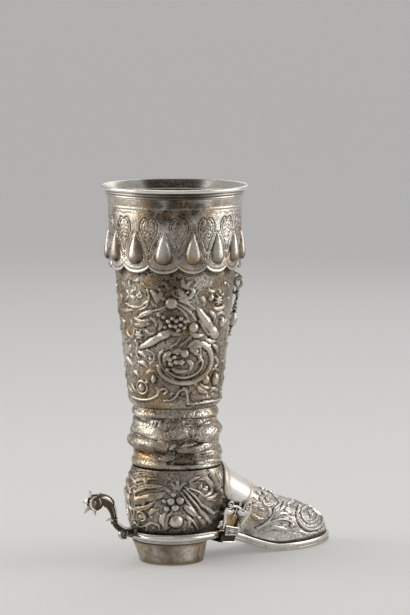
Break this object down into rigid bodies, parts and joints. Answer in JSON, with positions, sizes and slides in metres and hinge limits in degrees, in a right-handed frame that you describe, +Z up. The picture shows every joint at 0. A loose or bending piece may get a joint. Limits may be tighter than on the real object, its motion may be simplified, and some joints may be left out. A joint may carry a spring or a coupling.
{
  "type": "boot-shaped cup",
  "caption": "Tall silver drinking cup shaped as a riding boot, with a scalloped bossed cuff, slouched ankle, buckled instep strap, heel and a spur whose rowel turns.",
  "frame": {"origin": "centre of the heel's base, where it stands on the table", "axes": "+X from the heel to the toe, +Z up the leg to the mouth, -Y the side that carries the buckle"},
  "size_m": [0.1804, 0.0884, 0.227],
  "materials": {
    "silver_bright": "polished silver, lightly worn",
    "silver_toned": "chased silver with a warm dark tone in its recesses",
    "silver_dark": "cast silver, dark with tarnish"
  },
  "bodies": {
    "cup": {"heel_plate": "silver_toned", "heel": "silver_toned", "sole": "silver_bright", "counter": "silver_toned", "vamp": "silver_bright", "instep_strap": "silver_bright", "sole_strap": "silver_toned", "buckle_frame": "silver_bright", "buckle_tongue": "silver_bright", "strap_end": "silver_bright", "ankle": "silver_toned", "leg": "silver_toned", "cuff": "silver_bright", "rim_lip": "silver_bright", "leg_ornament": "silver_bright", "spur_yoke": "silver_bright", "spur_neck": "silver_dark", "rowel_pin": "silver_dark"},
    "rowel": {"rowel": "silver_bright"}
  },
  "joints": [
    {"name": "rowel_spin", "type": "hinge", "parent": "cup", "child": "rowel", "pos_m": [-0.0561, 0, 0.0402], "axis": [0, 1, 0], "continuous": true}
  ]
}
